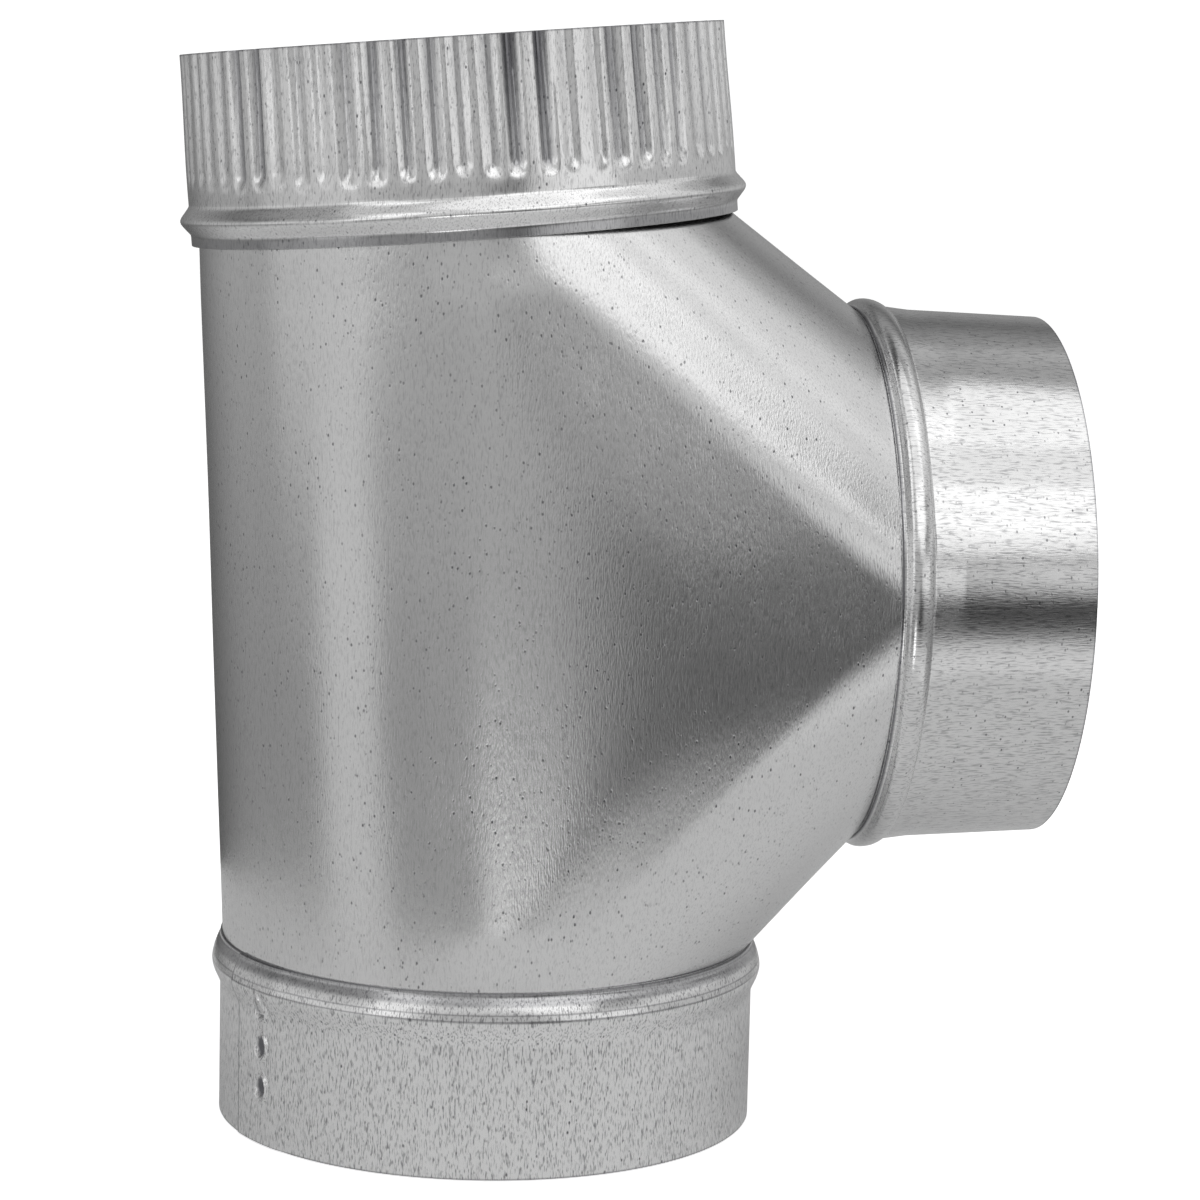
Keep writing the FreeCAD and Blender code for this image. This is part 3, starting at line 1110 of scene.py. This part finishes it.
@dataclass
class Studio:
    """Camera, floor, room and soft lights, in metres and degrees.

    The glow is the room's radiance at rising elevations. Each dark place is an azimuth,
    an elevation, its half width and half height as shares of the way to it, and the
    share of light that is left in its middle.
    """

    floor_material: Material
    table_material: Material
    floor_radius: float = 4.0
    floor_rise: float = 1.2
    floor_drop: float = 0.0004
    table_radius: float = 0.34
    table_drop: float = 0.0012
    light_distance: float = 3.0
    tee_middle: tuple[float, float, float] = (0.03, 0.0, 0.155)
    glow: tuple = ((-40, 0.503), (-12, 0.242), (0, 0.491), (12, 0.416), (30, 0.15), (50, 0.342), (90, 0.0))
    dark_places: tuple = ((19.0, -8.0, 0.32, 0.26, 0.03), (-172.0, -4.0, 0.75, 0.6, 0.35))
    dark_reach: float = 1.25
    camera_place: tuple[float, float, float] = (-0.11825, -1.0095, 0.29072)
    camera_pitch: float = 7.975
    camera_roll: float = 1.323
    camera_yaw: float = 8.4
    lens: float = 107.737

    def camera(self) -> None:
        """Camera at the photograph's angle."""
        data = bpy.data.cameras.new("camera")
        data.lens = self.lens
        data.clip_start = 0.01
        camera = bpy.data.objects.new("camera", data)
        bpy.context.scene.collection.objects.link(camera)
        yaw, roll = math.radians(self.camera_yaw), math.radians(self.camera_roll)
        ahead = self.way(180 - self.camera_yaw, -self.camera_pitch)
        level = Vector((math.cos(yaw), -math.sin(yaw), 0))
        upright = level.cross(ahead)
        right = level * math.cos(roll) + upright * math.sin(roll)
        up = upright * math.cos(roll) - level * math.sin(roll)
        turn = Matrix((right, up, -ahead)).transposed().to_4x4()
        camera.matrix_world = Matrix.Translation(self.camera_place) @ turn
        bpy.context.scene.camera = camera

    def floor(self) -> None:
        """Plain pale floor that curves up far out, and the card table that the metal mirrors."""
        bm = bmesh.new()
        profile = [bm.verts.new((0, 0, 0))]
        for turn in (0, 0.4, 0.8, 1.2, math.pi / 2):
            out, up = self.floor_rise * math.sin(turn), self.floor_rise * (1 - math.cos(turn))
            profile.append(bm.verts.new((self.floor_radius + out, 0, up)))
        edges = [bm.edges.new(pair) for pair in zip(profile, profile[1:])]
        bmesh.ops.spin(
            bm, geom=profile + edges, cent=(0, 0, 0), axis=(0, 0, 1), angle=2 * math.pi, steps=64,
            use_merge=True,
        )
        floor = self.placed(bm, "studio_floor", self.floor_material, -self.floor_drop)
        floor.visible_glossy = False
        floor.visible_diffuse = False
        floor.visible_shadow = False
        bm = bmesh.new()
        bmesh.ops.create_circle(bm, cap_ends=True, segments=64, radius=self.table_radius)
        table = self.placed(bm, "card_table", self.table_material, -self.table_drop)
        table.visible_camera = False
        table.visible_diffuse = False

    @staticmethod
    def placed(
        bm: BMesh, name: str, material: Material, height: float
    ) -> Object:
        """Stage piece from a mesh in metres, which is freed.

        Args:
            bm: the mesh.
            name: name of the piece.
            material: its finish.
            height: height of its lowest plane.

        Returns:
            The piece, in the scene.
        """
        bmesh.ops.remove_doubles(bm, verts=bm.verts, dist=0.0001)
        bmesh.ops.recalc_face_normals(bm, faces=bm.faces)
        bmesh.ops.translate(bm, vec=(0, 0, height), verts=bm.verts)
        for face in bm.faces:
            face.smooth = True
        piece = linked(bm, name, material)
        return piece

    @staticmethod
    def way(azimuth: float, elevation: float) -> Vector:
        """Unit vector at an azimuth from the front and an elevation, in degrees."""
        turn, rise = math.radians(azimuth), math.radians(elevation)
        return Vector((math.sin(turn) * math.cos(rise), -math.cos(turn) * math.cos(rise), math.sin(rise)))

    def softbox(self, box: Softbox) -> None:
        """Put up one soft light that faces the tee.

        Args:
            box: the light's direction, size and radiance.
        """
        data = bpy.data.lights.new(box.name, "AREA")
        data.shape = "RECTANGLE"
        data.size = 2 * self.light_distance * math.tan(math.radians(box.width / 2))
        data.size_y = 2 * self.light_distance * math.tan(math.radians(box.height / 2))
        data.energy = math.pi * data.size * data.size_y * box.radiance
        light = bpy.data.objects.new(box.name, data)
        bpy.context.scene.collection.objects.link(light)
        light.visible_camera = False
        way = self.way(box.azimuth, box.elevation)
        place = Matrix.Translation(Vector(self.tee_middle) + way * self.light_distance)
        light.matrix_world = place @ way.to_track_quat("Z", "Y").to_matrix().to_4x4()

    def room(self) -> None:
        """Glow of the room by elevation, with a dark doorway at the front right and a dark wall behind."""
        world = bpy.data.worlds.new("studio_room")
        world.use_nodes = True
        tree = world.node_tree
        way = add(tree, "ShaderNodeTexCoord").outputs["Generated"]
        rise = add(tree, "ShaderNodeSeparateXYZ", in0=way).outputs["Z"]
        share = add(tree, "ShaderNodeMapRange", Value=rise, in1=-1.0, in2=1.0).outputs[0]
        ramp = add(tree, "ShaderNodeValToRGB", Fac=share)
        stops = ramp.color_ramp.elements
        while len(stops) < len(self.glow):
            stops.new(1.0)
        for stop, (elevation, radiance) in zip(stops, self.glow):
            stop.position = (math.sin(math.radians(elevation)) + 1) / 2
            stop.color = (radiance, radiance, radiance, 1)
        level: NodeSocket | float = 1.0
        for azimuth, elevation, width, height, least in self.dark_places:
            centre = self.way(azimuth, elevation)
            apart = add(tree, "ShaderNodeVectorMath", {"operation": "SUBTRACT"}, in0=way, in1=centre)
            shares = add(
                tree, "ShaderNodeVectorMath", {"operation": "DIVIDE"},
                in0=apart.outputs[0], in1=(width, width, height),
            )
            far = add(tree, "ShaderNodeVectorMath", {"operation": "LENGTH"}, in0=shares.outputs[0])
            light = add(
                tree, "ShaderNodeMapRange", {"interpolation_type": "SMOOTHSTEP"},
                Value=far.outputs["Value"], in1=0.0, in2=self.dark_reach, in3=least, in4=1.0,
            )
            level = add(
                tree, "ShaderNodeMath", {"operation": "MULTIPLY"}, in0=light.outputs[0], in1=level,
            ).outputs[0]
        background = tree.nodes["Background"]
        tree.links.new(ramp.outputs["Color"], background.inputs["Color"])
        tree.links.new(level, background.inputs["Strength"])
        bpy.context.scene.world = world


def bottom_collar() -> BottomCollar:
    """Female end of the run, of brighter sheet with strong short rolling lines."""
    sheet = GalvanisedSheet(
        "galvanised sheet of the bottom collar", Rolling.UPRIGHT,
        roughness=0.21, streaks=0.80, line_relief=0.022, light="F3F3F3",
    )
    return BottomCollar(
        "bottom_collar_beaded", BOTTOM, BOTTOM_BEAD, BOTTOM_LENGTH, sheet.build(),
        wall=((0, COLLAR_RADIUS), (BOTTOM_LENGTH, COLLAR_RADIUS)),
        steps=384, lap_turn=BOTTOM_LAP_TURN, lap_line=0.8,
    )


def crimped_collar() -> CrimpedCollar:
    """Male end of the run, of bright sheet whose lines the crimper has flattened."""
    sheet = GalvanisedSheet(
        "galvanised sheet of the crimped collar", Rolling.UPRIGHT,
        roughness=0.20, streaks=0.45, line_relief=0.016, light="F1F1F1",
    )
    return CrimpedCollar(
        "crimped_collar_pressed", TOP, TOP_BEAD, TOP_LENGTH, sheet.build(),
        wall=((0, COLLAR_RADIUS), (TOP_LENGTH, COLLAR_RADIUS)),
        # The painted seam shade reaches 3.6 mm up here, a painted shade band from the seam to the bead's
        # foot.
        steps=1024, seam_shade_height=3.6, seam_shade_share=0.5,
    )


def branch_collar() -> Collar:
    """Branch's end, the smoothest sheet, which mirrors the room in clear bands."""
    sheet = GalvanisedSheet(
        "galvanised sheet of the branch collar", Rolling.ALONG_BRANCH,
        roughness=0.17, streaks=0.60, line_relief=0.028, line_length=3.4,
    )
    return Collar(
        "branch_collar_beaded", BRANCH, BRANCH_BEAD, BRANCH_LENGTH, sheet.build(),
        wall=((0, BRANCH_RADIUS), (9.2, BRANCH_RADIUS), (17.5, 76.1), (BRANCH_LENGTH, 74.6)),
        lap_turn=BRANCH_LAP_TURN,
    )


def tee_body() -> TeeBody:
    """Folded body, of grey sheet with faint lines that blur the edges of what it mirrors."""
    sheet = GalvanisedSheet(
        "galvanised sheet of the body", Rolling.UPRIGHT, roughness=0.20, streaks=0.24, line_relief=0.060,
    )
    return TeeBody(sheet.build())


def main() -> None:
    """Build the floor, the lights, the camera and the tee, and report each piece."""
    logging.basicConfig(level=logging.INFO, format="%(message)s")
    floor_paper = PaperCard("matt white paper floor", glow=0.76).build()
    table_card = PaperCard("matt white paper card", glow=0.0).build()
    studio = Studio(floor_paper, table_card)
    studio.camera()
    studio.floor()
    studio.room()
    for box in SOFTBOXES:
        studio.softbox(box)
    makers = {
        "tee_body": tee_body,
        "bottom_collar": bottom_collar,
        "crimped_collar": crimped_collar,
        "branch_collar": branch_collar,
    }
    for node, maker in makers.items():
        piece = maker().build()
        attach(piece, "root")
        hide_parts(node)
        LOG.info("%s: %d faces", piece.name, len(piece.data.polygons))
    bpy.context.scene.view_settings.view_transform = "Standard"


if __name__ == "__main__":
    main()
